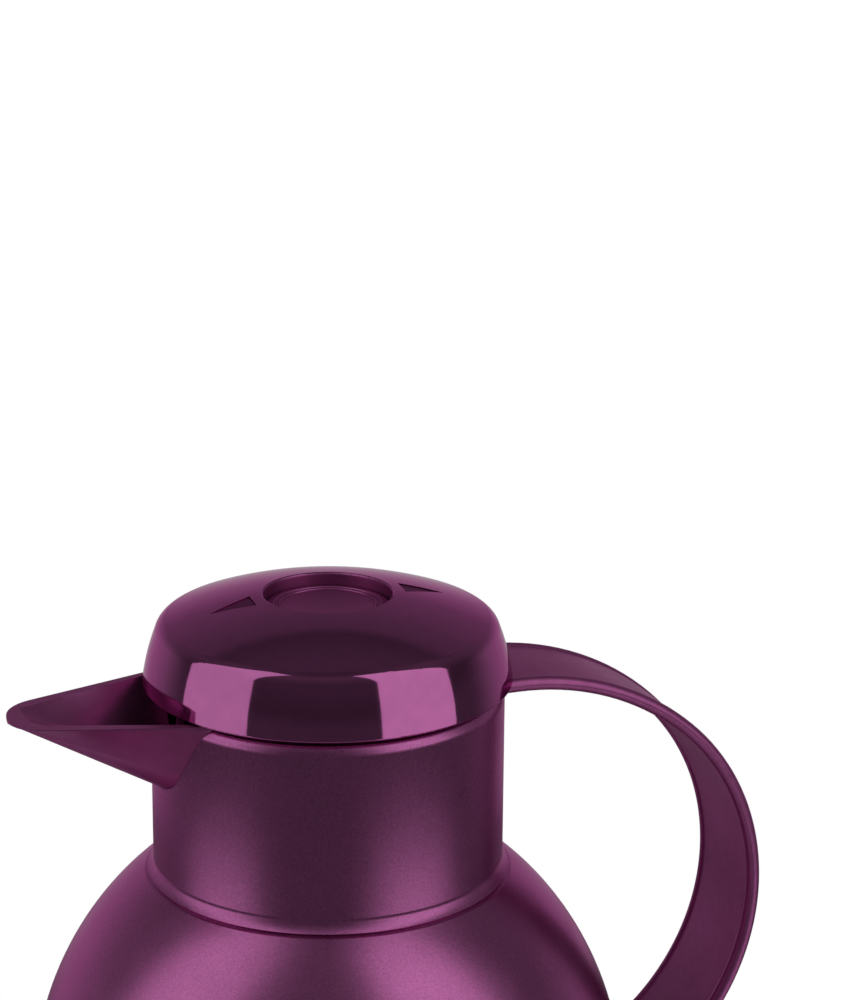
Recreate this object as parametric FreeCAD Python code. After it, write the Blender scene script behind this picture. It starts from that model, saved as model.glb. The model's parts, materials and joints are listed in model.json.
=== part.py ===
import FreeCAD, Part
import math
import os

# Vacuum jug with a push-button stopper. Millimetres, +Z up, spout towards -X, handle towards +X.
# The origin is the centre of the foot ring, on the axis of the globe.

V = FreeCAD.Vector
UP = V(0, 0, 1)
ACROSS = V(0, 1, 0)
ORIGIN = V(0, 0, 0)

# Casing: a globe in two halves and a straight neck
globe_radius = 79.8
globe_half_height = 84.0
base_edge_radius = 47.88
casing_wall = 2.4
split_height = 42.0
spigot_height = 6.0
spigot_root = 4.0
spigot_wall = 2.2
seam_gap = 0.2
seam_chamfer = 0.5
neck_radius = 46.2
neck_height = 51.6
neck_flare_width = 1.68
neck_flare_height = 3.8
neck_flare_bow = 0.45
neck_shoulder_radius = 4.0
neck_top_drop = 0.5
neck_lip_width = 6.0
neck_step_height = 3.0

# Base: foot ring, bowl floor and the screw that holds the flask up
foot_proud = 0.8
foot_inset = 4.38
foot_width = 5.0
foot_groove_depth = 1.4
bowl_edge_round = 0.7
base_recess_margin = 4.5
base_recess_height = 3.0
base_boss_height = 11.0
base_boss_wall = 3.0
base_screw_radius = 24.0
base_screw_gap = 0.2
base_screw_height = 5.0
base_well_radius = 12.5
base_well_floor = 1.6
grip_bar_width = 9.0
grip_pocket_depth = 2.2
grip_pocket_margin = 4.0
cushion_radius = 22.5
cushion_inner_radius = 13.2
cushion_height = 7.0
cushion_seat = 2.0
cushion_gap = 0.1
seal_wire_radius = 0.9
seal_groove_depth = 1.1

# Flask: two glass walls with a vacuum between them, joined by a chamfered lip
flask_gap = 4.9
flask_neck_length = 5.0
flask_neck_margin = 1.0
flask_shoulder_round = 7.0
glass_wall = 1.6
lip_chamfer = 1.6
vacuum_gap = 4.3
tip_gap = 0.4
tip_root_radius = 4.0
tip_end_radius = 1.4
spacer_radius = 4.0
spacer_rise = 36.0
spacer_count = 3
gasket_height = 3.0
gasket_skirt = 6.0
gasket_wall = 2.2
gasket_gap = 0.15
gasket_lip = 2.3

# Pouring ring with its spout
ring_gap = 0.3
ring_wall = 2.2
ring_flange_reach = 1.8
ring_flange_height = 1.0
ring_floor = 2.2
ring_shelf_width = 7.2
ring_snap_proud = 1.1
ring_snap_gap = 0.3
ring_snap_height = 1.6
throat_wall = 2.5
throat_rise = 11.6
throat_flange_reach = 1.5
throat_flange_height = 2.0
spout_length = 39.2
spout_tip_radius = 12.2
spout_rim_drop = 0.4
spout_root_width = 42.0
spout_root_depth = 23.2
spout_root_round = 14.2
spout_floor_step = 3.0
spout_lip_depth = 1.2
spout_lip_round = 5.0
spout_wall = 1.7
spout_rim_width = 1.6
spout_rim_trim = 0.4
spout_lip_width = 4.6
spout_channel_end_width = 13.0
spout_channel_end_depth = 0.8
spout_sink = 0.9
spout_notch_gap = 0.15

# Handle: a flat band with a rounded bead along both edges, bent to an oval
handle_start = 1.8
handle_half_length = 71.6
handle_half_height = 66.9
handle_top_drop = 1.3
handle_width = 32.0
handle_bead_radius = 1.9
handle_web = 2.7
tongue_width = 20.0
tongue_thickness = 2.0
tongue_hook = 2.2
tongue_reach = 3.4
tongue_gap = 0.15

# Lid: a dome over a drafted band, with a bore for the button
lid_overhang = 2.05
lid_edge_round = 0.6
lid_wall = 2.2
band_draft = 3.35
band_height = 13.8
band_bow = 0.4
dome_edge_inset = 2.4
dome_edge_rise = 2.9
corner_bow = 0.41
dome_bow = 0.74
dome_rise = 6.75
button_bore = 16.77
bore_edge_round = 0.5
bore_edge_bow = 0.12
guide_wall = 2.0
guide_length = 13.95
lid_ledge_width = 1.7
lid_ledge_height = 2.2
mark_margin = 3.23
mark_length = 11.6
mark_width = 7.6
mark_depth = 0.5
mark_angle = -4.0

# Stopper under the lid: deck, plug with outlet windows, valve seat
deck_gap = 0.85
deck_lift = 0.8
deck_thickness = 2.5
plug_gap = 2.0
plug_wall = 2.2
plug_lift = 0.5
plug_lip_proud = 1.3
plug_lip_height = 1.5
seat_width = 9.5
seat_thickness = 2.2
window_count = 6
window_width = 15.0
window_top_drop = 5.0
window_sill = 3.2
boss_radius = 8.0
boss_rise = 3.0
boss_drop = 8.0
stopper_seal_fit = 0.3
stopper_seal_height = 4.4
stopper_seal_gap = 0.1
stopper_seal_round = 0.8

# Button, spring and valve
button_gap = 0.37
button_depth = 3.3
button_wall = 1.8
button_top = 2.2
button_edge_round = 0.8
button_flange_reach = 2.0
button_flange_height = 1.5
button_flange_gap = 0.3
button_dish_margin = 4.9
button_dish_depth = 0.6
button_boss_radius = 6.0
button_boss_height = 5.6
rib_steps = (1.1, 2.7)
rib_round = 0.4
stem_radius = 3.5
stem_fit = 0.05
stem_seal_gap = 0.1
stem_seal_wire_radius = 1.0
stem_groove_gap = 0.05
spring_clearance = 4.5
spring_wire_radius = 0.6
spring_turns = 5
spring_end_gap = 0.05
valve_overlap = 3.0
valve_thickness = 2.3
valve_seal_inset = 0.8
valve_seal_height = 1.6
valve_seal_gap = 0.1
valve_upstand = 1.4
valve_upstand_height = 1.0
valve_hub_radius = 6.5
valve_hub_height = 7.0
screw_radius = 1.25
screw_fit = 0.05
screw_length = 12.0
screw_head_radius = 3.0
screw_head_height = 1.6

# One overrun serves every cut
overrun = 1.0

# Levels that follow from the sizes above. The flask fills the globe, and the throat reaches down to it.
seam_radius = neck_radius + neck_flare_width
globe_mid = globe_half_height * math.sqrt(1 - (base_edge_radius / globe_radius) ** 2)
globe_height = globe_mid + globe_half_height * math.sqrt(1 - (seam_radius / globe_radius) ** 2)
lid_z = globe_height + neck_height
neck_top = lid_z - neck_top_drop
throat_end = globe_height + throat_rise
flask_top = throat_end - gasket_height
flask_bottom = base_recess_height + base_screw_height + cushion_seat
flask_half_height = (flask_top - flask_neck_length - flask_bottom) / 2
flask_mid = flask_bottom + flask_half_height
spacer_height = flask_bottom + spacer_rise
ring_floor_drop = spout_root_depth + spout_floor_step
ring_floor_top = lid_z - ring_floor_drop
spout_rim = lid_z - spout_rim_drop
deck_bottom = lid_z + deck_lift
deck_top = deck_bottom + deck_thickness
plug_end = throat_end + plug_lift
window_height = ring_floor_drop - window_top_drop - window_sill
dome_edge_height = band_height + dome_edge_rise
dome_rim_height = dome_edge_height + dome_rise
guide_bottom = dome_rim_height - guide_length
button_level = lid_z + dome_rim_height - button_depth
button_underside = button_level - button_top
valve_top = plug_end - valve_seal_gap - valve_seal_height
valve_end = valve_top - valve_thickness
handle_top = lid_z - handle_top_drop - handle_bead_radius
handle_mid = handle_top - handle_half_height

# Radii that follow: what sits in the neck is sized from the neck, working inwards
foot_inner_radius = base_edge_radius - foot_inset - foot_width
base_recess_radius = foot_inner_radius - base_recess_margin
flask_radius = globe_radius - casing_wall - flask_gap
neck_lip_radius = neck_radius - neck_lip_width
ring_radius = neck_lip_radius - ring_gap
ring_flange_radius = neck_lip_radius + ring_flange_reach
throat_radius = ring_radius - ring_wall - ring_shelf_width
flask_neck_radius = throat_radius + throat_wall + flask_neck_margin
throat_flange_radius = flask_neck_radius + throat_flange_reach
gasket_inner_radius = throat_radius - gasket_lip
spout_inside_x = ring_radius - spout_sink
spout_reach = neck_radius + spout_length
handle_centre_x = neck_radius + handle_start
tongue_end_x = neck_radius - casing_wall - tongue_hook
lid_radius = neck_radius + lid_overhang
band_top_radius = lid_radius - band_draft
dome_edge_radius = band_top_radius - dome_edge_inset
deck_radius = lid_radius - lid_wall - deck_gap
lid_ledge_radius = deck_radius - lid_ledge_width
mark_base_radius = button_bore + mark_margin
mark_tip_radius = mark_base_radius + mark_length
plug_radius = throat_radius - plug_gap
plug_lip_radius = plug_radius + plug_lip_proud
stopper_seal_radius = throat_radius - stopper_seal_fit
seat_radius = plug_radius - seat_width
valve_radius = seat_radius + valve_overlap
valve_seal_inner_radius = seat_radius - valve_seal_inset
button_radius = button_bore - button_gap
button_flange_radius = button_radius + button_flange_reach
button_dish_radius = button_radius - button_dish_margin
spring_radius = button_boss_radius + spring_clearance


# Shape helpers. An outline lies in the half plane r, z and is turned about Z.

def point(r, z):
    return V(r, 0, z)


def line(a, b):
    return Part.LineSegment(point(*a), point(*b)).toShape()


def run(*corners):
    return [line(a, b) for a, b in zip(corners, corners[1:])]


def bowed(a, b, bow):
    """Arc from a to b that stands off its chord by bow, to the right of the way it runs."""
    dr = b[0] - a[0]
    dz = b[1] - a[1]
    length = math.hypot(dr, dz)
    middle = ((a[0] + b[0]) / 2 + bow * dz / length, (a[1] + b[1]) / 2 - bow * dr / length)
    return Part.Arc(point(*a), point(*middle), point(*b)).toShape()


def on_circle(centre, radius, degrees):
    angle = math.radians(degrees)
    return (centre[0] + radius * math.cos(angle), centre[1] + radius * math.sin(angle))


def rounding(centre, radius, start, end):
    """Circular arc between two angles in degrees."""
    middle = (start + end) / 2
    ends = [point(*on_circle(centre, radius, degrees)) for degrees in (start, middle, end)]
    return Part.Arc(*ends).toShape()


def turned(edges):
    outline = Part.Wire(Part.__sortEdges__(edges))
    return Part.Face(outline).revolve(ORIGIN, UP, 360)


def turned_loop(*corners):
    return turned(run(*corners, corners[0]))


def ring(inner, outer, low, high):
    return turned_loop((inner, low), (outer, low), (outer, high), (inner, high))


def disc(radius, low, high):
    return Part.makeCylinder(radius, high - low, V(0, 0, low))


def wire_ring(radius, wire_radius, z):
    return Part.makeTorus(radius, wire_radius, V(0, 0, z))


def oval_radius(semi_r, semi_z, mid_z, z):
    return semi_r * math.sqrt(1 - ((z - mid_z) / semi_z) ** 2)


def oval_arc(semi_r, semi_z, mid_z, low, high):
    """Part of an upright or lying ellipse about the axis, between two heights."""
    side = point(semi_r, mid_z)
    crown = point(0, mid_z + semi_z)
    rise = [max(-1, min(1, (z - mid_z) / semi_z)) for z in (low, high)]
    if semi_z > semi_r:
        ellipse = Part.Ellipse(crown, side, point(0, mid_z))
        angles = sorted(math.acos(share) for share in rise)
    else:
        ellipse = Part.Ellipse(side, crown, point(0, mid_z))
        angles = sorted(math.asin(share) for share in rise)
    return Part.ArcOfEllipse(ellipse, *angles).toShape()


def oval_arcs(half_length, half_height):
    """Radii of the crown and side arcs of a smooth oval, and the angle where they meet."""
    total = half_length + half_height
    reach = (math.sqrt(total ** 2 + 2 * (half_length ** 2 + half_height ** 2)) - total) / 2
    meet = ((half_length + reach) / 2, (half_height + reach) / 2)
    drop = half_height - meet[1]
    inset = half_length - meet[0]
    crown_radius = (meet[0] ** 2 + drop ** 2) / (2 * drop)
    side_radius = (meet[1] ** 2 + inset ** 2) / (2 * inset)
    return crown_radius, side_radius, math.degrees(math.atan2(crown_radius - drop, meet[0]))


def globe_outer(z):
    return oval_radius(globe_radius, globe_half_height, globe_mid, z)


def globe_inner(z):
    return oval_radius(globe_radius - casing_wall, globe_half_height - casing_wall, globe_mid, z)


def globe_outer_arc(low, high):
    return oval_arc(globe_radius, globe_half_height, globe_mid, low, high)


def globe_inner_arc(low, high):
    return oval_arc(globe_radius - casing_wall, globe_half_height - casing_wall, globe_mid, low, high)


def globe_envelope(inset):
    """The filled globe, drawn in by inset, which trims what passes through its skin."""
    semi_r = globe_radius - inset
    semi_z = globe_half_height - inset
    low, high = [oval_radius(semi_r, semi_z, globe_mid, z) for z in (0, globe_height)]
    edges = [oval_arc(semi_r, semi_z, globe_mid, 0, globe_height)]
    edges += run((low, 0), (0, 0), (0, globe_height), (high, globe_height))
    return turned(edges)


# Handle path and spout sections, which the casing is cut to fit

def handle_path(start_x):
    """Run of a line and three tangent arcs, from inside the neck to the oval's lowest point in the globe."""
    crown_radius, side_radius, turn = oval_arcs(handle_half_length, handle_half_height)
    crown = (handle_centre_x, handle_top - crown_radius)
    side = (handle_centre_x + handle_half_length - side_radius, handle_mid)
    keel = (handle_centre_x, handle_mid - handle_half_height + crown_radius)
    edges = [
        line((start_x, handle_top), (handle_centre_x, handle_top)),
        rounding(crown, crown_radius, 90, turn),
        rounding(side, side_radius, turn, -turn),
        rounding(keel, crown_radius, -turn, -90),
    ]
    return Part.Wire(edges)


def swept_band(section_edges, start_x):
    section = Part.Face(Part.Wire(Part.__sortEdges__(section_edges)))
    return handle_path(start_x).makePipe(section)


def bead_section(x):
    """Web with a round bead on each edge, square to the path's first line."""
    bead_y = handle_width / 2 - handle_bead_radius
    half_web = handle_web / 2
    inset = math.sqrt(handle_bead_radius ** 2 - half_web ** 2)
    edges = []
    for side in (1, -1):
        web_y = side * (bead_y - inset)
        top = V(x, web_y, handle_top + half_web)
        bottom = V(x, web_y, handle_top - half_web)
        edges.append(Part.Arc(top, V(x, side * handle_width / 2, handle_top), bottom).toShape())
    for height in (half_web, -half_web):
        start = V(x, inset - bead_y, handle_top + height)
        end = V(x, bead_y - inset, handle_top + height)
        edges.append(Part.LineSegment(start, end).toShape())
    return edges


def tongue_section(x, gap):
    half_width = tongue_width / 2 + gap
    half_height = tongue_thickness / 2 + gap
    signs = ((-1, -1), (1, -1), (1, 1), (-1, 1), (-1, -1))
    corners = [V(x, sy * half_width, handle_top + sz * half_height) for sy, sz in signs]
    return Part.makePolygon(corners).Edges


def tongue_band(gap):
    """Thin band along the handle's path, longer than the handle at both ends."""
    start_x = tongue_end_x - gap
    band = swept_band(tongue_section(start_x, gap), start_x)
    return band.cut(globe_envelope(casing_wall + tongue_reach + gap))


def spout_section(x, half_width, depth, round_radius):
    """Deep V with a round keel, hung from the rim, and straight sides that rise above it."""
    rise = ring_flange_height + overrun
    centre = V(x, 0, spout_rim - depth + round_radius)
    edge = V(x, half_width, spout_rim)
    reach = math.hypot(half_width, spout_rim - centre.z)
    angle = math.atan2(spout_rim - centre.z, half_width) - math.acos(round_radius / reach)
    touch = V(x, round_radius * math.cos(angle), centre.z + round_radius * math.sin(angle))
    corners = [touch, edge, V(x, half_width, spout_rim + rise)]
    across = [V(c.x, -c.y, c.z) for c in reversed(corners)]
    sides = Part.makePolygon(corners + across).Edges
    keel = Part.Arc(across[-1], V(x, 0, spout_rim - depth), touch).toShape()
    return Part.Wire(Part.__sortEdges__(sides + [keel]))


def spout_lean():
    """Angle between the spout's centre line and the side of its rim, seen from above."""
    tip_centre = spout_reach - spout_tip_radius
    root = math.hypot(tip_centre - neck_radius, spout_root_width / 2)
    return math.atan2(spout_root_width / 2, tip_centre - neck_radius) - math.asin(spout_tip_radius / root)


def spout_slopes():
    """How fast the spout widens, deepens and rounds out from its tip to the neck."""
    length = spout_reach - neck_radius
    deepening = (spout_root_depth - spout_lip_depth) / length
    rounding_rate = (spout_root_round - spout_lip_round) / length
    return math.tan(spout_lean()), deepening, rounding_rate


def spout_block(gap):
    """The spout's outer form from inside the neck to past its tip, higher and wider than its rim."""
    widening, deepening, rounding_rate = spout_slopes()
    sections = []
    for x in (spout_inside_x, spout_reach + overrun):
        back = neck_radius - x
        half_width = spout_root_width / 2 + spout_rim_trim + widening * back + gap
        depth = spout_root_depth + deepening * back + gap
        round_radius = spout_root_round + rounding_rate * back + gap
        sections.append(spout_section(-x, half_width, depth, round_radius))
    return Part.makeLoft(sections, True, True)


def spout_plan():
    """Prism up to the rim, with its outline seen from above: straight sides and a round tip."""
    low = spout_rim - spout_root_depth - ring_floor_drop
    tip_centre = spout_reach - spout_tip_radius
    lean = spout_lean()
    root = spout_root_width / 2 + math.tan(lean) * (neck_radius - spout_inside_x + overrun)
    back = V(overrun - spout_inside_x, root, low)
    touch = V(-tip_centre - spout_tip_radius * math.sin(lean), spout_tip_radius * math.cos(lean), low)
    mirrored = [V(p.x, -p.y, p.z) for p in (touch, back)]
    sides = Part.makePolygon([mirrored[0], mirrored[1], back, touch]).Edges
    tip = Part.Arc(touch, V(-spout_reach, 0, low), mirrored[0]).toShape()
    outline = Part.Face(Part.Wire(Part.__sortEdges__(sides + [tip])))
    return outline.extrude(V(0, 0, spout_rim - low))


def spout_channel():
    """The trough inside the spout, open above the rim and into the pouring ring."""
    widening, deepening, rounding_rate = spout_slopes()
    back = neck_radius - spout_inside_x + ring_wall + overrun
    start_x = neck_radius - back
    half_width = spout_root_width / 2 + widening * back - spout_rim_width
    depth = spout_root_depth + deepening * back - spout_wall
    depth = min(depth, ring_floor_drop - spout_rim_drop)
    round_radius = spout_root_round + rounding_rate * back - spout_wall
    root = spout_section(-start_x, half_width, depth, round_radius)
    end_x = spout_reach - spout_lip_width
    end = spout_section(-end_x, spout_channel_end_width / 2, spout_channel_end_depth, spout_lip_round)
    return Part.makeLoft([root, end], True, True)


# Casing and base

def make_globe_shell():
    chamfer_low = globe_height - seam_chamfer
    chamfer_top = globe_outer(globe_height) - seam_chamfer
    edges = [globe_inner_arc(split_height, globe_height), globe_outer_arc(split_height, chamfer_low)]
    edges += run((globe_outer(chamfer_low), chamfer_low), (chamfer_top, globe_height),
                 (globe_inner(globe_height), globe_height))
    edges += run((globe_inner(split_height), split_height), (globe_outer(split_height), split_height))
    return turned(edges).cut(tongue_band(tongue_gap))


def neck_outline():
    """The neck's skin from the seam up over the rounded shoulder."""
    seam = globe_outer(globe_height) - seam_chamfer
    shoulder = (neck_radius - neck_shoulder_radius, neck_top - neck_shoulder_radius)
    flare = (neck_radius, globe_height + neck_flare_height)
    foot = (globe_outer(globe_height), globe_height + seam_chamfer)
    edges = run((seam, globe_height), foot)
    edges.append(bowed(foot, flare, -neck_flare_bow))
    edges += run(flare, (neck_radius, shoulder[1]))
    edges.append(rounding(shoulder, neck_shoulder_radius, 0, 90))
    return edges


def neck_envelope():
    edges = neck_outline()
    seam = globe_outer(globe_height) - seam_chamfer
    crown = neck_radius - neck_shoulder_radius
    edges += run((crown, neck_top), (0, neck_top), (0, globe_height), (seam, globe_height))
    return turned(edges)


def make_neck_collar():
    inner = neck_radius - casing_wall
    spigot_outer = globe_inner(globe_height) - seam_gap
    spigot_inner = spigot_outer - spigot_wall
    shoulder = (neck_radius - neck_shoulder_radius, neck_top - neck_shoulder_radius)
    inner_round = neck_shoulder_radius - casing_wall
    step = globe_height + spigot_root
    edges = neck_outline()
    edges += run((shoulder[0], neck_top), (neck_lip_radius, neck_top),
                 (neck_lip_radius, neck_top - casing_wall), (shoulder[0], neck_top - casing_wall))
    edges.append(rounding(shoulder, inner_round, 90, 0))
    spigot_low = globe_height - spigot_height
    edges += run((inner, shoulder[1]), (inner, step + neck_step_height), (spigot_inner, step),
                 (spigot_inner, spigot_low), (spigot_outer, spigot_low), (spigot_outer, globe_height),
                 (globe_outer(globe_height) - seam_chamfer, globe_height))
    collar = turned(edges)
    return collar.cut(spout_block(spout_notch_gap)).cut(tongue_band(tongue_gap))


def bowl_spigot_radius():
    return globe_inner(split_height) - seam_gap


def seal_groove_height():
    return split_height + spigot_height / 2


def make_base_bowl():
    floor_top = base_recess_height + casing_wall
    outer = globe_outer_arc(foot_proud + bowl_edge_round, split_height - seam_chamfer)
    inner = globe_inner_arc(floor_top, split_height - spigot_root)
    spigot_outer = bowl_spigot_radius()
    spigot_inner = spigot_outer - spigot_wall
    spigot_top = split_height + spigot_height
    rim = globe_outer(split_height)
    foot = globe_outer(foot_proud + bowl_edge_round)
    ledge = split_height - spigot_root
    boss_outer = base_screw_radius + base_boss_wall
    groove_top = foot_proud + foot_groove_depth
    foot_outer = foot_inner_radius + foot_width
    edges = [outer, inner]
    edges += run((globe_outer(split_height - seam_chamfer), split_height - seam_chamfer),
                 (rim - seam_chamfer, split_height), (spigot_outer, split_height), (spigot_outer, spigot_top),
                 (spigot_inner, spigot_top), (spigot_inner, ledge), (globe_inner(ledge), ledge))
    edges += run((globe_inner(floor_top), floor_top), (boss_outer, floor_top),
                 (boss_outer, base_boss_height), (base_screw_radius, base_boss_height),
                 (base_screw_radius, base_recess_height),
                 (base_recess_radius, base_recess_height), (base_recess_radius, foot_proud),
                 (foot_inner_radius, foot_proud), (foot_inner_radius, groove_top), (foot_outer, groove_top),
                 (foot_outer, foot_proud), (foot - bowl_edge_round, foot_proud),
                 (foot, foot_proud + bowl_edge_round))
    groove = ring(spigot_outer - seal_groove_depth, spigot_outer + overrun,
                  seal_groove_height() - seal_wire_radius, seal_groove_height() + seal_wire_radius)
    return turned(edges).cut(groove)


def make_casing_seal():
    return wire_ring(bowl_spigot_radius() - seal_groove_depth + seal_wire_radius, seal_wire_radius,
                     seal_groove_height())


def make_foot_ring():
    groove_top = foot_proud + foot_groove_depth
    return ring(foot_inner_radius, foot_inner_radius + foot_width, 0, groove_top)


def make_base_screw():
    radius = base_screw_radius - base_screw_gap
    top = base_recess_height + base_screw_height
    plate = disc(radius, base_recess_height, top)
    pocket_top = base_recess_height + grip_pocket_depth
    pocket = disc(radius - grip_pocket_margin, base_recess_height - overrun, pocket_top)
    bar = Part.makeBox(2 * radius, grip_bar_width, pocket_top - base_recess_height + overrun,
                       V(-radius, -grip_bar_width / 2, base_recess_height - overrun))
    well = disc(base_well_radius, pocket_top + base_well_floor, top + overrun)
    return plate.cut(pocket.cut(bar)).cut(well)


def make_flask_cushion():
    low = base_recess_height + base_screw_height
    pad = ring(cushion_inner_radius, cushion_radius, low, low + cushion_height)
    crown_radius, rise = flask_crown()
    return pad.cut(Part.makeSphere(crown_radius + cushion_gap, V(0, 0, flask_mid + rise)))


# Flask

def flask_crown():
    """Radius of the flask's bottom and top, and how far their centres lie from its middle."""
    radius = oval_arcs(flask_radius, flask_half_height)[0]
    return radius, radius - flask_half_height


def flask_hollow():
    """Centre of the hollow between the flask's shoulder and neck, and the angle at which it is reached."""
    crown_radius, rise = flask_crown()
    hollow_r = flask_neck_radius + flask_shoulder_round
    above = math.sqrt((crown_radius + flask_shoulder_round) ** 2 - hollow_r ** 2)
    return hollow_r, flask_mid - rise + above, math.atan2(above, hollow_r)


def flask_neck_foot():
    """Level at which the shoulder ends and the hollow of the neck begins."""
    _, hollow_z, lean = flask_hollow()
    return hollow_z - flask_shoulder_round * math.sin(lean)


def flask_skin(inset, top, hole):
    """Bottle outline drawn in by inset, from a hole round the axis at the bottom up to the neck's end."""
    crown_radius, side_radius, turn = oval_arcs(flask_radius, flask_half_height)
    outer_radius = crown_radius - inset
    side = (flask_radius - side_radius, flask_mid)
    crown = (0, flask_mid + flask_half_height - crown_radius)
    keel = (0, flask_mid - flask_half_height + crown_radius)
    hollow_r, hollow_z, slope = flask_hollow()
    lean = math.degrees(slope)
    start = math.degrees(math.asin(hole / outer_radius))
    neck = flask_neck_radius - inset
    edges = [
        rounding(keel, outer_radius, start - 90, -turn),
        rounding(side, side_radius - inset, -turn, turn),
        rounding(crown, outer_radius, turn, lean),
        rounding((hollow_r, hollow_z), flask_shoulder_round + inset, 180 + lean, 180),
        line((neck, hollow_z), (neck, top)),
    ]
    return edges, on_circle(keel, outer_radius, start - 90), (neck, top)


def lip_edges():
    """Radius of the neck's bore and the level where the outer wall ends and the lip begins."""
    width = 2 * glass_wall + vacuum_gap
    return flask_neck_radius - width, flask_top - width / 2


def make_flask_outer_glass():
    """Outer wall, with the tip where it was sealed off."""
    _, lip_low = lip_edges()
    outer, tip_root, outer_end = flask_skin(0, lip_low, tip_root_radius)
    inner, pole, inner_end = flask_skin(glass_wall, lip_low, 0)
    tip_low = base_recess_height + grip_pocket_depth + base_well_floor + tip_gap
    edges = outer + inner + run(outer_end, inner_end)
    edges += run(pole, (0, tip_low), (tip_end_radius, tip_low), tip_root)
    return turned(edges)


def flask_inner_wall():
    """Inner wall, turned over at the top to meet the outer wall."""
    bore, lip_low = lip_edges()
    outer, outer_pole, outer_end = flask_skin(glass_wall + vacuum_gap, lip_low, 0)
    inner, inner_pole, inner_end = flask_skin(2 * glass_wall + vacuum_gap, lip_low, 0)
    chamfer_low = flask_top - lip_chamfer
    ceiling = flask_top - glass_wall
    skirt = flask_neck_radius - glass_wall
    edges = outer + inner + run(outer_pole, inner_pole)
    edges += run(inner_end, (bore, chamfer_low), (bore + lip_chamfer, flask_top),
                 (flask_neck_radius - lip_chamfer, flask_top), (flask_neck_radius, chamfer_low),
                 (flask_neck_radius, lip_low), (skirt, lip_low), (skirt, ceiling),
                 (outer_end[0], ceiling), outer_end)
    return turned(edges)


def make_flask_inner_bowl():
    """Lower half of the inner wall, from its round bottom to its widest girth."""
    return flask_inner_wall().common(disc(flask_radius, flask_bottom, flask_mid))


def make_flask_inner_shoulder():
    """Round shoulder of the inner wall, from its widest girth up to the neck."""
    return flask_inner_wall().common(disc(flask_radius, flask_mid, flask_neck_foot()))


def make_flask_inner_neck():
    """Neck of the inner wall with its lip."""
    return flask_inner_wall().common(disc(flask_radius, flask_neck_foot(), flask_top + overrun))


def make_flask_spacers():
    outer, outer_pole, outer_end = flask_skin(glass_wall, flask_mid + flask_half_height, 0)
    inner, inner_pole, inner_end = flask_skin(glass_wall + vacuum_gap, flask_mid + flask_half_height, 0)
    gap = turned(outer + inner + run(outer_end, inner_end) + run(outer_pole, inner_pole))
    pads = []
    for index in range(spacer_count):
        pad = Part.makeCylinder(spacer_radius, flask_radius, V(0, 0, spacer_height), V(1, 0, 0))
        pad.rotate(ORIGIN, UP, 360 * (index + 1 / 2) / spacer_count)
        pads.append(pad.common(gap))
    return Part.makeCompound(pads)


def make_neck_gasket():
    hug = flask_neck_radius + gasket_gap
    outer = hug + gasket_wall
    skirt_end = flask_top - gasket_skirt
    return turned_loop((gasket_inner_radius, flask_top), (hug, flask_top), (hug, skirt_end),
                       (outer, skirt_end), (outer, throat_end), (gasket_inner_radius, throat_end))


# Pouring ring and handle

def make_pouring_ring():
    inner = ring_radius - ring_wall
    floor_low = ring_floor_top - ring_floor
    flange_top = neck_top + ring_flange_height
    snap_top = neck_top - casing_wall - ring_snap_gap
    snap_low = snap_top - ring_snap_height
    throat_outer = throat_radius + throat_wall
    flange_low = throat_end + throat_flange_height
    cup = turned_loop((throat_radius, throat_end), (throat_flange_radius, throat_end),
                      (throat_flange_radius, flange_low), (throat_outer, flange_low),
                      (throat_outer, floor_low), (ring_radius, floor_low), (ring_radius, snap_low),
                      (ring_radius + ring_snap_proud, snap_top), (ring_radius, snap_top),
                      (ring_radius, neck_top), (ring_flange_radius, neck_top),
                      (ring_flange_radius, flange_top), (inner, flange_top), (inner, ring_floor_top),
                      (throat_radius, ring_floor_top))
    spout = spout_block(0).common(spout_plan())
    return cup.fuse(spout).cut(spout_channel())


def make_handle():
    band = swept_band(bead_section(neck_lip_radius), neck_lip_radius)
    band = band.cut(neck_envelope()).cut(globe_envelope(0))
    return band.fuse(tongue_band(0)).removeSplitter()


# Lid and stopper

def lid_outline(inset):
    """Skin of band, corner and dome, drawn in by inset."""
    edge = (lid_radius - inset, lid_z + lid_edge_round)
    band_top = (band_top_radius - inset, lid_z + band_height - inset / 2)
    dome_edge = (dome_edge_radius - inset / 2, lid_z + dome_edge_height - inset)
    rim = (button_bore + bore_edge_round, lid_z + dome_rim_height - inset)
    skin = [bowed(edge, band_top, band_bow), bowed(band_top, dome_edge, corner_bow)]
    skin.append(bowed(dome_edge, rim, dome_bow))
    return skin, edge, rim


def lid_envelope():
    """The filled lid, closed across the button bore."""
    skin, edge, rim = lid_outline(0)
    edges = skin + run(rim, (0, rim[1]), (0, edge[1]), edge)
    return turned(edges)


def mark_tool():
    """Two opposite arrow marks, cut to an even depth under the dome."""
    low = lid_z + band_height
    high = lid_z + dome_rim_height + overrun
    marks = []
    for turn in (0, 180):
        corners = [V(mark_base_radius, -mark_width / 2, low), V(mark_tip_radius, 0, low),
                   V(mark_base_radius, mark_width / 2, low)]
        arrow = Part.Face(Part.makePolygon(corners + corners[:1])).extrude(V(0, 0, high - low))
        arrow.rotate(ORIGIN, UP, turn + mark_angle)
        marks.append(arrow)
    lowered = lid_envelope().translated(V(0, 0, -mark_depth))
    return Part.makeCompound(marks).cut(lowered)


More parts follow.
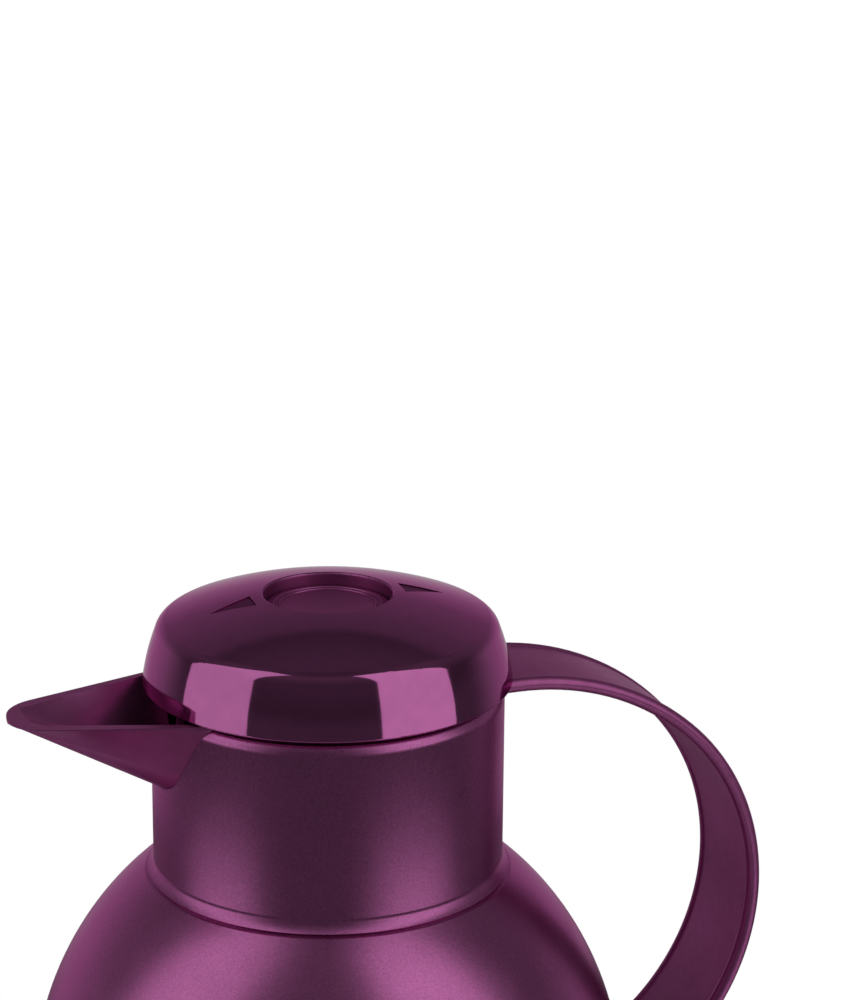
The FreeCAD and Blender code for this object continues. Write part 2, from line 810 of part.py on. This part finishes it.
def make_lid_cap():
    skin, edge, rim = lid_outline(0)
    guide_low = lid_z + guide_bottom
    guide_outer = button_bore + guide_wall
    inner_skin = lid_shell_room(guide_outer)
    corner = (lid_radius - lid_edge_round, edge[1])
    edges = skin + [rounding(corner, lid_edge_round, -90, 0)]
    edges += run((corner[0], lid_z), (lid_radius - lid_wall, lid_z), (lid_radius - lid_wall, deck_top),
                 (lid_ledge_radius, deck_top), (lid_ledge_radius, deck_top + lid_ledge_height))
    edges += inner_skin
    edges += run((guide_outer, guide_low), (button_bore, guide_low), (button_bore, rim[1] - bore_edge_round))
    edges.append(bowed((button_bore, rim[1] - bore_edge_round), rim, -bore_edge_bow))
    return turned(edges).cut(mark_tool())


def lid_shell_room(guide_outer):
    """Inner skin of the lid, from the ledge up to the button guide."""
    ledge = (lid_ledge_radius, deck_top + lid_ledge_height)
    band_top = (band_top_radius - lid_wall, lid_z + band_height - lid_wall / 2)
    dome_edge = (dome_edge_radius - lid_wall / 2, lid_z + dome_edge_height - lid_wall)
    rim = (guide_outer, lid_z + dome_rim_height - lid_wall)
    return [line(ledge, band_top), bowed(band_top, dome_edge, corner_bow), bowed(dome_edge, rim, dome_bow),
            line(rim, (guide_outer, lid_z + guide_bottom))]


def make_stopper_body():
    inner = plug_radius - plug_wall
    seal_top = plug_end + plug_lip_height + stopper_seal_height + 2 * stopper_seal_gap
    bore = stem_radius + stem_seal_gap
    boss_top = deck_top + boss_rise
    boss_low = deck_bottom - boss_drop
    lip_top = plug_end + plug_lip_height
    upper_lip_top = seal_top + plug_lip_height
    body = turned_loop((bore, boss_low), (boss_radius, boss_low), (boss_radius, deck_bottom),
                       (inner, deck_bottom), (inner, plug_end + seat_thickness),
                       (seat_radius, plug_end + seat_thickness), (seat_radius, plug_end),
                       (plug_lip_radius, plug_end), (plug_lip_radius, lip_top), (plug_radius, lip_top),
                       (plug_radius, seal_top), (plug_lip_radius, seal_top),
                       (plug_lip_radius, upper_lip_top), (plug_radius, upper_lip_top),
                       (plug_radius, deck_bottom), (deck_radius, deck_bottom), (deck_radius, deck_top),
                       (boss_radius, deck_top), (boss_radius, boss_top), (bore, boss_top))
    window_top = lid_z - window_top_drop
    for index in range(window_count):
        window = Part.makeBox(plug_radius + overrun, window_width, window_height,
                              V(boss_radius, -window_width / 2, window_top - window_height))
        window.rotate(ORIGIN, UP, 360 * index / window_count)
        body = body.cut(window)
    return body.cut(stem_groove())


def stem_seal_height():
    return deck_bottom - boss_drop / 2


def stem_groove():
    half = stem_seal_wire_radius + stem_groove_gap
    outer = stem_radius + stem_seal_gap + 2 * stem_seal_wire_radius + stem_groove_gap
    return ring(stem_radius, outer, stem_seal_height() - half, stem_seal_height() + half)


def make_stem_seal():
    radius = stem_radius + stem_seal_gap + stem_seal_wire_radius
    return wire_ring(radius, stem_seal_wire_radius, stem_seal_height())


def make_stopper_seal():
    low = plug_end + plug_lip_height + stopper_seal_gap
    high = low + stopper_seal_height
    inner = plug_radius + stopper_seal_gap
    outer = stopper_seal_radius
    soft = stopper_seal_round
    edges = run((inner, low), (outer - soft, low))
    edges.append(rounding((outer - soft, low + soft), soft, -90, 0))
    edges += run((outer, low + soft), (outer, high - soft))
    edges.append(rounding((outer - soft, high - soft), soft, 0, 90))
    edges += run((outer - soft, high), (inner, high), (inner, low))
    return turned(edges)


# Button and valve

def make_push_button():
    radius = button_radius
    inner = radius - button_wall
    flange_top = lid_z + guide_bottom - button_flange_gap
    flange_low = flange_top - button_flange_height
    socket = stem_radius + stem_fit
    boss_low = button_underside - button_boss_height
    soft = button_edge_round
    dish_edge = (button_dish_radius, button_level)
    dish_floor = (0, button_level - button_dish_depth)
    dish_round = (button_dish_radius ** 2 + button_dish_depth ** 2) / (2 * button_dish_depth)
    dish_turn = math.degrees(math.asin(button_dish_radius / dish_round))
    edges = run((0, button_underside), (socket, button_underside), (socket, boss_low),
                (button_boss_radius, boss_low), (button_boss_radius, button_underside),
                (inner, button_underside), (inner, flange_low), (button_flange_radius, flange_low),
                (button_flange_radius, flange_top), (radius, flange_top), (radius, button_level - soft))
    edges.append(rounding((radius - soft, button_level - soft), soft, 0, 90))
    edges += run((radius - soft, button_level), dish_edge)
    edges.append(rounding((0, dish_floor[1] + dish_round), dish_round, dish_turn - 90, -90))
    edges += run(dish_floor, (0, button_underside))
    button = turned(edges)
    for step in rib_steps:
        button = button.fuse(wire_ring(button_dish_radius + step, rib_round, button_level))
    return button.removeSplitter()


def helix_point(angle, low, rise):
    turns = angle / (2 * math.pi)
    return V(spring_radius * math.cos(angle), spring_radius * math.sin(angle), low + rise * turns)


def helix_heading(angle, rise):
    climb = rise / (2 * math.pi)
    return V(-spring_radius * math.sin(angle), spring_radius * math.cos(angle), climb).normalize()


def tangent_arc(start, heading, end):
    """Arc from start, leaving along heading, to end."""
    chord = end - start
    half = chord.getAngle(heading)
    outward = chord - heading * chord.dot(heading)
    outward.normalize()
    reach = chord.Length / (2 * math.cos(half / 2))
    middle = start + (heading * math.cos(half / 2) + outward * math.sin(half / 2)) * reach
    return Part.Arc(start, middle, end).toShape()


def helix_path(low, rise):
    """Two tangent arcs for each quarter turn of the spring."""
    step = math.pi / 2
    edges = []
    for index in range(4 * spring_turns):
        start = helix_point(index * step, low, rise)
        end = helix_point((index + 1) * step, low, rise)
        out = helix_heading(index * step, rise)
        home = helix_heading((index + 1) * step, rise)
        chord = end - start
        both = out + home
        square = both.dot(both) - 4
        lean = chord.dot(both)
        span = (lean - math.sqrt(lean * lean - square * chord.dot(chord))) / square
        meeting = (start + out * span + end - home * span) / 2
        edges.append(tangent_arc(start, out, meeting))
        edges.append(tangent_arc(end, home * -1, meeting))
    return Part.Wire(Part.__sortEdges__(edges))


def make_button_spring():
    low = deck_top + spring_wire_radius + spring_end_gap
    high = button_underside - spring_wire_radius - spring_end_gap
    rise = (high - low) / spring_turns
    path = helix_path(low, rise)
    section = Part.Circle(helix_point(0, low, rise), helix_heading(0, rise), spring_wire_radius)
    spring = path.makePipeShell([Part.Wire(section.toShape())], True, False)
    points = [helix_point(math.pi / 6 * index, low, rise) for index in range(12 * spring_turns + 1)]
    gaps = [(a - b).Length for i, a in enumerate(points) for b in points[i + 6:]]
    print("spring self gap", round(min(gaps) - 2 * spring_wire_radius, 2), "mm")
    return spring


def make_valve_stem():
    low = valve_top
    stem = disc(stem_radius, low, button_underside)
    pilot = disc(screw_radius + screw_fit, low - overrun, valve_end + screw_length + screw_fit)
    return stem.cut(pilot)


def make_valve_disc():
    hub_bore = stem_radius + stem_fit
    hub_top = valve_top + valve_hub_height
    shoulder = valve_seal_inner_radius - stem_fit
    shoulder_inner = shoulder - valve_upstand
    upstand_top = valve_top + valve_upstand_height
    hole = screw_radius + screw_fit
    return turned_loop((hole, valve_end), (valve_radius, valve_end), (valve_radius, valve_top),
                       (shoulder, valve_top), (shoulder, upstand_top), (shoulder_inner, upstand_top),
                       (shoulder_inner, valve_top), (valve_hub_radius, valve_top),
                       (valve_hub_radius, hub_top), (hub_bore, hub_top), (hub_bore, valve_top),
                       (hole, valve_top))


def make_valve_seal():
    return ring(valve_seal_inner_radius, valve_radius, valve_top, valve_top + valve_seal_height)


def make_valve_screw():
    shank = disc(screw_radius, valve_end, valve_end + screw_length)
    head = disc(screw_head_radius, valve_end - screw_head_height, valve_end)
    return shank.fuse(head).removeSplitter()


makers = {
    "globe_shell": make_globe_shell,
    "neck_collar": make_neck_collar,
    "base_bowl": make_base_bowl,
    "casing_seal": make_casing_seal,
    "foot_ring": make_foot_ring,
    "base_screw": make_base_screw,
    "flask_cushion": make_flask_cushion,
    "flask_outer_glass": make_flask_outer_glass,
    "flask_inner_bowl": make_flask_inner_bowl,
    "flask_inner_shoulder": make_flask_inner_shoulder,
    "flask_inner_neck": make_flask_inner_neck,
    "flask_spacers": make_flask_spacers,
    "neck_gasket": make_neck_gasket,
    "pouring_ring": make_pouring_ring,
    "handle": make_handle,
    "lid_cap": make_lid_cap,
    "stopper_body": make_stopper_body,
    "stem_seal": make_stem_seal,
    "stopper_seal": make_stopper_seal,
    "push_button": make_push_button,
    "button_spring": make_button_spring,
    "valve_stem": make_valve_stem,
    "valve_disc": make_valve_disc,
    "valve_seal": make_valve_seal,
    "valve_screw": make_valve_screw,
}

os.makedirs("parts", exist_ok=True)
for node, make in makers.items():
    shape = make()
    shape.exportStep("parts/" + node + ".step")
    print(node, len(shape.Solids), "solid", shape.isValid(), round(shape.Volume / 1000, 2), "cm3")
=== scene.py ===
import json
import math

import bpy
from mathutils import Matrix, Vector


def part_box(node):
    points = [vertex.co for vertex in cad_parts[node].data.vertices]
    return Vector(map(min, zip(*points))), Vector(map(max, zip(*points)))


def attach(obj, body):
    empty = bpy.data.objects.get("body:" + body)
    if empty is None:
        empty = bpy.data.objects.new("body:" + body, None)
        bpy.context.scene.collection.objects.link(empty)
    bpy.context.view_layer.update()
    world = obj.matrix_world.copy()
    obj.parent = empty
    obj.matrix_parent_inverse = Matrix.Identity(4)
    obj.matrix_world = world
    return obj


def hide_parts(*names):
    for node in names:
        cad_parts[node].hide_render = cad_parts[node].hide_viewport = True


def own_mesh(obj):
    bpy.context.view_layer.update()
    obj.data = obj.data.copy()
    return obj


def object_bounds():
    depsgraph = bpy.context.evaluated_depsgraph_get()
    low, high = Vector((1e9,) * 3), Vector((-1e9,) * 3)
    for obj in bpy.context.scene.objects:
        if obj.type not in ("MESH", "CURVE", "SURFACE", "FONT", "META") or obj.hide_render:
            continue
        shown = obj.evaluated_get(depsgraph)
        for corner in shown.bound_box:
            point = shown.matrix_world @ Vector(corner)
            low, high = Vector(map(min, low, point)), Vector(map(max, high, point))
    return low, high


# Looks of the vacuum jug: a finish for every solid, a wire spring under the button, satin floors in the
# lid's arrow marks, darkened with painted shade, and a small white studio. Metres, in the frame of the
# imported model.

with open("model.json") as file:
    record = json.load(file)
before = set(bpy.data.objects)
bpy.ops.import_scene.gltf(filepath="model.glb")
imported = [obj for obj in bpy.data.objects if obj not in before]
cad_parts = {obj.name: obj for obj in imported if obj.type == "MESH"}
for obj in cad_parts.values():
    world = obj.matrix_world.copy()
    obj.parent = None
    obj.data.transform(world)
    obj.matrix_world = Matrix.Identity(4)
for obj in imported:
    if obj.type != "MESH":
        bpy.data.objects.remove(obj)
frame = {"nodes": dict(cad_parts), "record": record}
cad_low, cad_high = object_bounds()
nodes = frame["nodes"]
scene = bpy.context.scene

# Photograph's frame and camera
IMAGE_WIDTH = 855
IMAGE_HEIGHT = 1000
FOCAL_PIXELS = 3060.8
SENSOR = 36.0
CAMERA_FROM_LID = Vector((-0.25373, -0.70865, 0.27099))
LID_PIXEL = (327.9, 677.6)
CAMERA_ROLL = math.radians(0.45)

# Softboxes beside the jug. A bearing starts at -Y and turns towards +X.
BOX_DISTANCE = 1.1
BOXES = {
    "left_softbox": dict(bearing=math.radians(-92), foot=-0.03, size=(0.98, 3.5), light=0.78),
    "right_softbox": dict(bearing=math.radians(37), foot=0.02, size=(1.02, 3.5), light=0.9),
}
TOP_SIZE = 1.4
TOP_HEIGHT = 1.6
TOP_LIGHT = 0.5

# Room that gloss sees: brightness by the sine of elevation, in front of the jug and behind it
REAR = Vector((0.337, 0.941, 0))
REAR_START, REAR_END = 0.1, 0.95
FRONT = ((0.0, 0.085), (0.12, 0.058), (0.55, 0.095), (0.85, 0.13), (0.95, 0.1), (1.0, 0.075))
BACKDROP = ((0.0, 0.5), (0.2, 0.36), (0.34, 0.24), (0.68, 0.13), (0.72, 0.06), (1.0, 0.08))

# Round table, polished away from the jug, which fades to white for the camera
TABLE_RADIUS = 0.39
TABLE_SIDES = 128
TABLE_TONE = 0.9
TABLE_ROUGH = 0.07
TABLE_GLOW = 0.55
POLISH_START, POLISH_END = 0.16, 0.3
FADE_START, FADE_END = 0.075, 0.14

# Spring under the button
SPRING_WIRE = 0.0006
SPRING_TURNS = 5
SPRING_STEPS = 40
WIRE_SIDES = 14

# Arrow marks in the lid
MARK_BASE = 0.0202
MARK_LENGTH = 0.011
MARK_WIDTH = 0.0072
MARK_ANGLE = math.radians(-4)
MARK_BLUNT = 0.97
MARK_ROWS = 30
MARK_COLUMNS = 10
MARK_LIFT = 0.0002
MARK_SINK = 0.0001

# Satin button and bore in the glossy lid
BUTTON_BORE = 0.0168
BORE_MARGIN = 0.0005
BORE_ROUGH = 0.38

# Finishes. Colours are linear; sizes of mottling, smudges and grain are in metres.
TONE_STOPS = (0.3, 0.7)
TONE_DETAIL = 3.0
SMUDGE_STOPS = (0.25, 0.75)
SMUDGE_DETAIL = 4.0
GRAIN_DETAIL = 2.0
PURPLE = (0.42, 0.12, 0.31)
LACQUER_PURPLE = (0.465, 0.133, 0.343)
DEEP_PURPLE = (0.38, 0.1, 0.27)
PURPLE_EDGE = (0.86, 0.52, 0.74, 1)
METALLIC = {"Metallic": 1.0, "Specular Tint": PURPLE_EDGE}
FINISHES = {
    "gloss_plastic": dict(colour=PURPLE, tone=0.04, tone_size=0.004, rough=(0.045, 0.085), smudge=0.018,
                          grain=0.0025, depth=0.000004, sockets=METALLIC),
    "lacquer": dict(colour=LACQUER_PURPLE, tone=0.16, tone_size=0.0005, rough=(0.27, 0.34), smudge=0.012,
                    grain=0.0004, depth=0.000008, sockets=METALLIC),
    "brushed_lacquer": dict(colour=LACQUER_PURPLE, tone=0.16, tone_size=0.0005, rough=(0.26, 0.31),
                            smudge=0.012, grain=0.0004, depth=0.000006,
                            sockets={**METALLIC, "Anisotropic": 0.75}),
    "satin_plastic": dict(colour=DEEP_PURPLE, tone=0.06, tone_size=0.003, rough=(0.33, 0.42), smudge=0.015,
                          grain=0.0005, depth=0.00001, sockets={**METALLIC, "Metallic": 0.85}),
    # Arrow-mark floors: satin, and their darker purple is painted shade in the recesses.
    "mark_satin_painted_shade": dict(colour=(0.2, 0.055, 0.145), tone=0.12, tone_size=0.0006, rough=(0.42, 0.55),
                       smudge=0.004, grain=0.0003, depth=0.00001, sockets=METALLIC),
    "dark_plastic": dict(colour=(0.035, 0.03, 0.036), tone=0.12, tone_size=0.003, rough=(0.4, 0.52),
                         smudge=0.012, grain=0.0005, depth=0.00001, sockets={}),
    "white_plastic": dict(colour=(0.72, 0.70, 0.66), tone=0.04, tone_size=0.006, rough=(0.3, 0.42),
                          smudge=0.01, grain=0.0006, depth=0.000006,
                          sockets={"Subsurface Weight": 0.1, "Subsurface Scale": 0.002}),
    "soft_rubber": dict(colour=(0.028, 0.027, 0.028), tone=0.25, tone_size=0.002, rough=(0.62, 0.8),
                        smudge=0.008, grain=0.0004, depth=0.00002, sockets={}),
    "clear_silicone": dict(colour=(0.62, 0.60, 0.55), tone=0.05, tone_size=0.003, rough=(0.35, 0.5),
                           smudge=0.008, grain=0.0006, depth=0.000008,
                           sockets={"Transmission Weight": 0.35, "IOR": 1.41}),
    "silvered_glass": dict(colour=(0.80, 0.82, 0.84), tone=0.05, tone_size=0.02, rough=(0.03, 0.09),
                           smudge=0.02, grain=0.012, depth=0.00003,
                           sockets={"Metallic": 1.0, "Coat Weight": 0.6}),
    "spacer_felt": dict(colour=(0.40, 0.38, 0.33), tone=0.3, tone_size=0.0006, rough=(0.85, 0.95),
                        smudge=0.003, grain=0.0003, depth=0.00008, sockets={"Sheen Weight": 0.3}),
    "steel": dict(colour=(0.60, 0.60, 0.61), tone=0.1, tone_size=0.0015, rough=(0.2, 0.34), smudge=0.004,
                  grain=0.0003, depth=0.000006, sockets={"Metallic": 1.0}),
}


def grey(tone):
    """Opaque grey of that brightness."""
    return (tone, tone, tone, 1)


def noise(tree, size, detail):
    """Factor of a noise in the solid's own coordinates, with features of that size."""
    place = tree.nodes.new("ShaderNodeTexCoord")
    texture = tree.nodes.new("ShaderNodeTexNoise")
    texture.inputs["Scale"].default_value = 1 / size
    texture.inputs["Detail"].default_value = detail
    tree.links.new(place.outputs["Object"], texture.inputs["Vector"])
    return texture.outputs[0]


def axis_distance(tree):
    """Distance from the Z axis in the object's own coordinates."""
    place = tree.nodes.new("ShaderNodeTexCoord")
    level = tree.nodes.new("ShaderNodeVectorMath")
    level.operation = "MULTIPLY"
    level.inputs[1].default_value = (1, 1, 0)
    tree.links.new(place.outputs["Object"], level.inputs[0])
    length = tree.nodes.new("ShaderNodeVectorMath")
    length.operation = "LENGTH"
    tree.links.new(level.outputs[0], length.inputs[0])
    return length.outputs["Value"]


def mapped(tree, source, start, end, before=0, after=1, soft=False):
    """One value before start and another after end, with a straight or soft change between."""
    node = tree.nodes.new("ShaderNodeMapRange")
    node.interpolation_type = "SMOOTHSTEP" if soft else "LINEAR"
    for socket, value in (("From Min", start), ("From Max", end), ("To Min", before), ("To Max", after)):
        node.inputs[socket].default_value = value
    tree.links.new(source, node.inputs["Value"])
    return node.outputs["Result"]


def joined(tree, operation, first, second):
    """Sum, product or greater of two values."""
    node = tree.nodes.new("ShaderNodeMath")
    node.operation = operation
    tree.links.new(first, node.inputs[0])
    tree.links.new(second, node.inputs[1])
    return node.outputs["Value"]


def mixed(tree, factor, first, second):
    """First shader at factor 0, second at 1."""
    node = tree.nodes.new("ShaderNodeMixShader")
    for source, socket in zip((factor, first, second), node.inputs):
        tree.links.new(source, socket)
    return node.outputs[0]


def finish_material(name, colour, tone, tone_size, rough, smudge, grain, depth, sockets):
    """Surface with mottled colour, smudged gloss and a fine grain."""
    material = bpy.data.materials.new(name)
    material.use_nodes = True
    tree = material.node_tree
    shader = tree.nodes["Principled BSDF"]
    for socket, value in sockets.items():
        shader.inputs[socket].default_value = value

    ramp = tree.nodes.new("ShaderNodeValToRGB")
    for element, share, stop in zip(ramp.color_ramp.elements, (1 - tone, 1 + tone), TONE_STOPS):
        element.color = (*[channel * share for channel in colour], 1)
        element.position = stop
    tree.links.new(noise(tree, tone_size, TONE_DETAIL), ramp.inputs["Fac"])
    tree.links.new(ramp.outputs["Color"], shader.inputs["Base Color"])

    gloss = mapped(tree, noise(tree, smudge, SMUDGE_DETAIL), *SMUDGE_STOPS, *rough)
    tree.links.new(gloss, shader.inputs["Roughness"])

    bump = tree.nodes.new("ShaderNodeBump")
    bump.inputs["Strength"].default_value = 1.0
    bump.inputs["Distance"].default_value = depth
    tree.links.new(noise(tree, grain, GRAIN_DETAIL), bump.inputs["Height"])
    tree.links.new(bump.outputs["Normal"], shader.inputs["Normal"])
    return material


def roughen_bore(material):
    """Makes the gloss satin on the button and inside its bore in the lid."""
    tree = material.node_tree
    roughness = tree.nodes["Principled BSDF"].inputs["Roughness"]
    distance = axis_distance(tree)
    added = mapped(tree, distance, BUTTON_BORE, BUTTON_BORE + BORE_MARGIN, BORE_ROUGH, 0, soft=True)
    tree.links.new(joined(tree, "ADD", roughness.links[0].from_socket, added), roughness)


def brush_upright(material):
    """Brush lines up the neck, which spread its highlights round it."""
    tree = material.node_tree
    tangent = tree.nodes.new("ShaderNodeTangent")
    tangent.direction_type = "RADIAL"
    tangent.axis = "Z"
    tree.links.new(tangent.outputs["Tangent"], tree.nodes["Principled BSDF"].inputs["Tangent"])


def dress_nodes():
    """Gives each solid the finish of its material slot, and the neck its brushed one."""
    materials = {name: finish_material(name, **finish) for name, finish in FINISHES.items()}
    roughen_bore(materials["gloss_plastic"])
    brush_upright(materials["brushed_lacquer"])
    for part in frame["record"]["subparts"]:
        finish = "brushed_lacquer" if part["node"] == "neck_collar" else part["material_slot"]
        solid = nodes[part["node"]]
        solid.data.materials.clear()
        solid.data.materials.append(materials[finish])
    return materials


def mesh_object(name, points, faces, material):
    """Object of one mesh and one material, linked to the scene."""
    mesh = bpy.data.meshes.new(name)
    mesh.from_pydata([tuple(point) for point in points], [], faces)
    mesh.materials.append(material)
    piece = bpy.data.objects.new(name, mesh)
    scene.collection.objects.link(piece)
    return piece


def make_spring(material):
    """Wire wound as a helix, which rides with the lid in place of the spring solid."""
    low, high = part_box("button_spring")
    radius = high.x - SPRING_WIRE
    bottom = low.z + SPRING_WIRE
    rise = high.z - low.z - 2 * SPRING_WIRE
    rings = SPRING_TURNS * SPRING_STEPS
    points = []
    for index in range(rings + 1):
        angle = math.tau * index / SPRING_STEPS
        outward = Vector((math.cos(angle), math.sin(angle), 0))
        along = Vector((-math.sin(angle), math.cos(angle), rise / (SPRING_TURNS * math.tau * radius)))
        upward = outward.cross(along.normalized()) * -1
        centre = outward * radius + Vector((0, 0, bottom + rise * index / rings))
        for side in range(WIRE_SIDES):
            turn = math.tau * side / WIRE_SIDES
            points.append(centre + (outward * math.cos(turn) + upward * math.sin(turn)) * SPRING_WIRE)
    faces = [tuple(reversed(range(WIRE_SIDES))), tuple(range(rings * WIRE_SIDES, (rings + 1) * WIRE_SIDES))]
    for index in range(rings):
        start, end = index * WIRE_SIDES, (index + 1) * WIRE_SIDES
        for side in range(WIRE_SIDES):
            after = (side + 1) % WIRE_SIDES
            faces.append((start + side, start + after, end + after, end + side))
    spring = mesh_object("spring_wire", points, faces, material)
    spring.data.shade_smooth()
    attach(spring, "lid")
    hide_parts("button_spring")
    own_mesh(spring)


def mark_floor(turn):
    """Grid of points on the lid inside the arrow mark at that turn, row by row from base to tip."""
    lid = nodes["lid_cap"]
    to_lid = lid.matrix_world.inverted()
    drop = (to_lid.to_3x3() @ Vector((0, 0, -1))).normalized()
    along = Vector((math.cos(turn + MARK_ANGLE), math.sin(turn + MARK_ANGLE), 0))
    across = Vector((-along.y, along.x, 0))
    floor = []
    for row in range(MARK_ROWS + 1):
        share = MARK_BLUNT * row / MARK_ROWS
        for column in range(MARK_COLUMNS + 1):
            aside = (column / MARK_COLUMNS - 0.5) * MARK_WIDTH * (1 - share)
            above = along * (MARK_BASE + MARK_LENGTH * share) + across * aside
            above.z = cad_high.z + MARK_WIDTH
            floor.append(lid.matrix_world @ lid.ray_cast(to_lid @ above, drop)[1])
    return floor


def make_marks(material):
    """Fine-grained satin floors of the two arrow marks in the lid, darker purple as painted shade in the
    recesses.
    """
    bpy.context.view_layer.update()
    stride = MARK_COLUMNS + 1
    rim = list(range(stride)) + [row * stride + MARK_COLUMNS for row in range(1, MARK_ROWS + 1)]
    rim += [MARK_ROWS * stride + column for column in range(MARK_COLUMNS - 1, -1, -1)]
    rim += [row * stride for row in range(MARK_ROWS - 1, 0, -1)]
    lift, sink = Vector((0, 0, MARK_LIFT)), Vector((0, 0, MARK_SINK))
    for name, turn in (("mark_floor_right", 0), ("mark_floor_left", math.pi)):
        floor = mark_floor(turn)
        under = len(floor)
        faces = []
        for row in range(MARK_ROWS):
            for column in range(MARK_COLUMNS):
                corner = row * stride + column
                quad = (corner, corner + stride, corner + stride + 1, corner + 1)
                faces += [quad, tuple(under + point for point in reversed(quad))]
        for first, second in zip(rim, rim[1:] + rim[:1]):
            faces.append((first, second, under + second, under + first))
        points = [point + lift for point in floor] + [point - sink for point in floor]
        mark = mesh_object(name, points, faces, material)
        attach(mark, "lid")


def area_light(name, place, target, size, light):
    """Rectangular lamp turned to its target, as bright per area as light says."""
    data = bpy.data.lights.new(name, "AREA")
    data.shape = "RECTANGLE"
    data.size, data.size_y = size
    data.energy = light * math.pi * size[0] * size[1]
    lamp = bpy.data.objects.new(name, data)
    lamp.location = place
    lamp.rotation_euler = (target - place).to_track_quat("-Z", "Y").to_euler()
    scene.collection.objects.link(lamp)
    return lamp


def make_lights():
    """Two tall softboxes beside the jug, and a soft top light for the table that no gloss shows."""
    for name, box in BOXES.items():
        middle = Vector((0, 0, box["foot"] + box["size"][1] / 2))
        outward = Vector((math.sin(box["bearing"]), -math.cos(box["bearing"]), 0))
        area_light(name, middle + outward * BOX_DISTANCE, middle, box["size"], box["light"])
    above = Vector((0, 0, TOP_HEIGHT))
    top = area_light("top_light", above, Vector((0, 0, 0)), (TOP_SIZE, TOP_SIZE), TOP_LIGHT)
    top.visible_glossy = False


def make_world():
    """White to the camera and through clear pieces; gloss sees a pale backdrop and a dim room."""
    world = bpy.data.worlds.new("studio")
    world.use_nodes = True
    scene.world = world
    tree = world.node_tree
    tree.nodes.clear()
    place = tree.nodes.new("ShaderNodeTexCoord")
    facing = tree.nodes.new("ShaderNodeVectorMath")
    facing.operation = "DOT_PRODUCT"
    facing.inputs[1].default_value = REAR
    tree.links.new(place.outputs["Generated"], facing.inputs[0])
    parts = tree.nodes.new("ShaderNodeSeparateXYZ")
    tree.links.new(place.outputs["Generated"], parts.inputs[0])
    behind = mapped(tree, facing.outputs["Value"], REAR_START, REAR_END, soft=True)
    sides = []
    for levels in (FRONT, BACKDROP):
        ramp = tree.nodes.new("ShaderNodeValToRGB")
        steps = ramp.color_ramp.elements
        while len(steps) < len(levels):
            steps.new(0.5)
        for step, (height, tone) in zip(steps, levels):
            step.position = height
            step.color = grey(tone)
        tree.links.new(parts.outputs["Z"], ramp.inputs["Fac"])
        side = tree.nodes.new("ShaderNodeBackground")
        tree.links.new(ramp.outputs["Color"], side.inputs["Color"])
        sides.append(side.outputs[0])
    room = mixed(tree, behind, *sides)
    white = tree.nodes.new("ShaderNodeBackground")
    white.inputs["Color"].default_value = grey(1)
    rays = tree.nodes.new("ShaderNodeLightPath")
    straight = joined(tree, "MAXIMUM", rays.outputs["Is Camera Ray"], rays.outputs["Is Transmission Ray"])
    out = tree.nodes.new("ShaderNodeOutputWorld")
    tree.links.new(mixed(tree, straight, room, white.outputs[0]), out.inputs["Surface"])


def table_material():
    """White that keeps the shadow near the jug and is plain white to the camera further out."""
    material = bpy.data.materials.new("table_white")
    material.use_nodes = True
    tree = material.node_tree
    shader = tree.nodes["Principled BSDF"]
    shader.inputs["Base Color"].default_value = grey(TABLE_TONE)
    shader.inputs["Roughness"].default_value = TABLE_ROUGH
    distance = axis_distance(tree)
    polish = mapped(tree, distance, POLISH_START, POLISH_END, soft=True)
    tree.links.new(polish, shader.inputs["Metallic"])
    rays = tree.nodes.new("ShaderNodeLightPath")
    glow = tree.nodes.new("ShaderNodeEmission")
    glow.inputs["Color"].default_value = grey(TABLE_GLOW)
    tree.links.new(rays.outputs["Is Camera Ray"], glow.inputs["Strength"])
    near = tree.nodes.new("ShaderNodeAddShader")
    tree.links.new(shader.outputs[0], near.inputs[0])
    tree.links.new(glow.outputs[0], near.inputs[1])
    white = tree.nodes.new("ShaderNodeEmission")
    white.inputs["Color"].default_value = grey(1)
    outer = mapped(tree, distance, FADE_START, FADE_END, soft=True)
    faded = joined(tree, "MULTIPLY", outer, rays.outputs["Is Camera Ray"])
    surface = mixed(tree, faded, near.outputs[0], white.outputs[0])
    tree.links.new(surface, tree.nodes["Material Output"].inputs["Surface"])
    return material


def make_table():
    """Round white table top."""
    angles = [math.tau * side / TABLE_SIDES for side in range(TABLE_SIDES)]
    rim = [(TABLE_RADIUS * math.cos(angle), TABLE_RADIUS * math.sin(angle), 0) for angle in angles]
    table = mesh_object("table_top", rim, [tuple(range(TABLE_SIDES))], table_material())


def make_camera():
    """Camera that shows the centre of the lid's lower edge at its pixel in the photograph."""
    lid = Vector((0, 0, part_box("lid_cap")[0].z))
    place = lid + CAMERA_FROM_LID
    across = (LID_PIXEL[0] - IMAGE_WIDTH / 2) / FOCAL_PIXELS
    upward = (IMAGE_HEIGHT / 2 - LID_PIXEL[1]) / FOCAL_PIXELS
    roll = Matrix.Rotation(CAMERA_ROLL, 3, "Z")
    rolled = roll @ Vector((across, upward, -1)).normalized()
    towards = (lid - place).normalized()
    reach = math.hypot(rolled.y, rolled.z)
    pitch = Matrix.Rotation(math.atan2(-rolled.z, rolled.y) + math.asin(towards.z / reach), 3, "X")
    tipped = pitch @ rolled
    yaw = Matrix.Rotation(math.atan2(towards.y, towards.x) - math.atan2(tipped.y, tipped.x), 3, "Z")
    data = bpy.data.cameras.new("camera")
    data.sensor_width = SENSOR
    data.lens = FOCAL_PIXELS / IMAGE_HEIGHT * SENSOR
    camera = bpy.data.objects.new("camera", data)
    camera.matrix_world = Matrix.Translation(place) @ (yaw @ pitch @ roll).to_4x4()
    scene.collection.objects.link(camera)
    scene.camera = camera


materials = dress_nodes()
make_spring(materials["steel"])
make_marks(materials["mark_satin_painted_shade"])
make_lights()
make_world()
make_table()
make_camera()
scene.view_settings.view_transform = "Standard"
